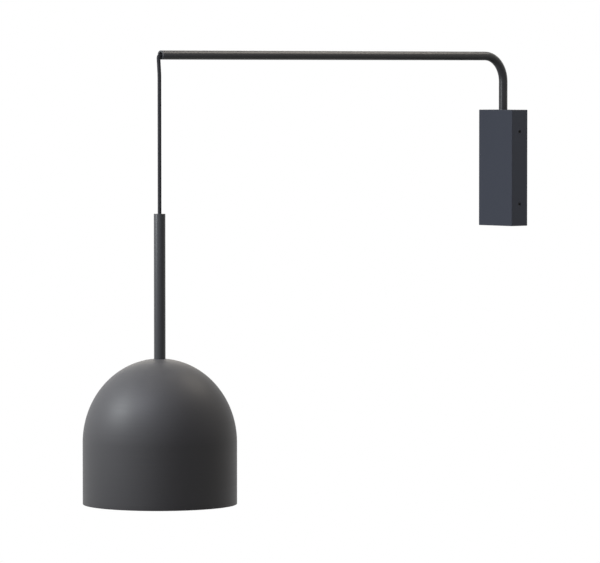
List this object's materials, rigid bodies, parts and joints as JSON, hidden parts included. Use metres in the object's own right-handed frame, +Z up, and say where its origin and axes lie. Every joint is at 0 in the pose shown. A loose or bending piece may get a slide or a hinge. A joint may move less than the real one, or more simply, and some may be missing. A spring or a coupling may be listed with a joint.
{
  "type": "pendant wall light",
  "caption": "Wall light with a swivelling bent-tube arm from which a cord hangs a slim stem and a metal dome shade.",
  "frame": {"origin": "on the wall plane, midway between the two wall screw slots", "axes": "+Z up, +Y into the wall, +X to the right for someone who faces the wall; the arm stands out along -Y at rest"},
  "size_m": [0.2, 0.7372, 0.587],
  "materials": {
    "box_paint": "matte",
    "tube_paint": "satin",
    "shade_metal": "satin",
    "cord_textile": "matte",
    "zinc_steel": "satin",
    "black_steel": "satin",
    "black_rubber": "matte",
    "black_plastic": "satin",
    "white_plastic": "satin",
    "natural_nylon": "matte",
    "white_ceramic": "gloss",
    "brass": "satin",
    "nickelled_brass": "satin",
    "tinned_copper": "satin",
    "wire_brown": "satin",
    "wire_blue": "satin",
    "wire_green_yellow": "satin",
    "opal_glass": "satin"
  },
  "bodies": {
    "wall_unit": {"wall_bracket": "zinc_steel", "cable_grommet": "black_rubber", "clinch_nuts": "zinc_steel", "wall_box": "box_paint", "box_screws": "black_steel", "pivot_housing": "zinc_steel", "pivot_bush": "natural_nylon", "thrust_washer": "natural_nylon", "stop_pin": "zinc_steel", "cord_clamp_base": "black_plastic", "cord_clamp_saddle": "black_plastic", "cord_clamp_screws": "zinc_steel", "box_cord": "cord_textile", "live_wire": "wire_brown", "neutral_wire": "wire_blue", "earth_wire": "wire_green_yellow", "terminal_block": "white_plastic", "terminal_sleeves": "brass", "terminal_screws": "zinc_steel", "terminal_block_screw": "zinc_steel", "earth_tag": "tinned_copper", "earth_screw": "zinc_steel"},
    "arm": {"arm_tube": "tube_paint", "pivot_spindle": "zinc_steel", "wave_washer": "zinc_steel", "stop_ring": "zinc_steel", "stop_ring_screw": "black_steel", "lock_nut": "zinc_steel", "arm_end_liner": "black_plastic", "arm_cord": "cord_textile"},
    "cord_top": {"cord_upper": "cord_textile"},
    "cord_mid": {"cord_middle": "cord_textile"},
    "cord_low": {"cord_lower": "cord_textile"},
    "pendant": {"stem_tube": "tube_paint", "stem_top_plug": "black_plastic", "cord_ferrule": "tinned_copper", "stem_cord": "cord_textile", "stem_foot_insert": "zinc_steel", "nipple": "zinc_steel", "shade_washer": "zinc_steel", "shade_nut": "zinc_steel", "shade": "shade_metal", "holder_cap": "black_plastic", "holder_insert": "white_ceramic", "holder_terminals": "brass", "holder_contact": "brass", "holder_thread": "brass", "holder_body": "black_plastic", "holder_live_wire": "wire_brown", "holder_neutral_wire": "wire_blue", "bulb_cap": "nickelled_brass", "bulb_contact": "tinned_copper", "bulb_collar": "white_plastic", "bulb_globe": "opal_glass"}
  },
  "joints": [
    {"name": "arm_swivel", "type": "hinge", "parent": "wall_unit", "child": "arm", "pos_m": [0, -0.015, 0.09], "axis": [0, 0, 1], "range_deg": [-80, 80]},
    {"name": "cord_swing_in_line", "type": "hinge", "parent": "arm", "child": "cord_top", "pos_m": [0, -0.63857, 0.14824], "axis": [1, 0, 0], "range_deg": [-30, 30], "deforming": ["cord_upper"]},
    {"name": "cord_swing_across", "type": "hinge", "parent": "cord_top", "child": "cord_mid", "pos_m": [0, -0.6372, 0.112], "axis": [0, 1, 0], "range_deg": [-30, 30], "deforming": ["cord_middle"]},
    {"name": "cord_twist", "type": "hinge", "parent": "cord_mid", "child": "cord_low", "pos_m": [0, -0.6372, 0.03], "axis": [0, 0, 1], "range_deg": [-180, 180]},
    {"name": "stem_tilt", "type": "hinge", "parent": "cord_low", "child": "pendant", "pos_m": [0, -0.6372, -0.051], "axis": [1, 0, 0], "range_deg": [-20, 20], "deforming": ["cord_lower"]}
  ]
}
